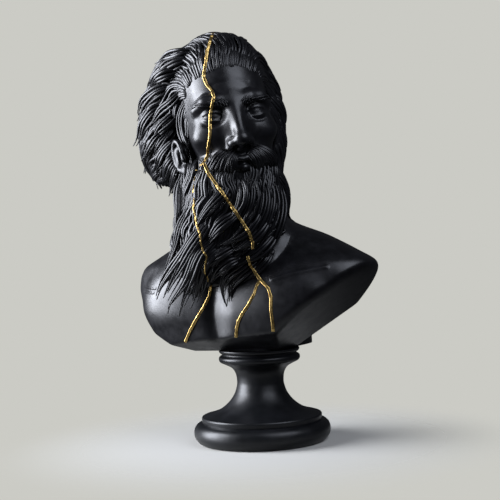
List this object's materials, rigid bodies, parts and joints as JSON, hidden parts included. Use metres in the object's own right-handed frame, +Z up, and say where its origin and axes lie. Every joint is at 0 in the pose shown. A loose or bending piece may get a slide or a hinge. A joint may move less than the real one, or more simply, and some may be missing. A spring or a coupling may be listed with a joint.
{
  "type": "bust statuette",
  "caption": "Black cast-resin bust of a bearded sea god with gold crack lines, on a round turned socle, for a shelf or table.",
  "frame": {"origin": "centre of the socle's underside, where the bust stands", "axes": "+Z up through the socle's axis; -Y is the side that the face looks to; +X is to the right of a viewer who faces the statue"},
  "size_m": [0.193, 0.1505, 0.3291],
  "materials": {
    "black_resin": "satin black cast polyester resin",
    "socle_resin": "satin black cast resin, turned form",
    "gold_paint": "metallic gold paint"
  },
  "bodies": {
    "root": {"bust": "black_resin", "socle": "socle_resin"}
  },
  "joints": []
}
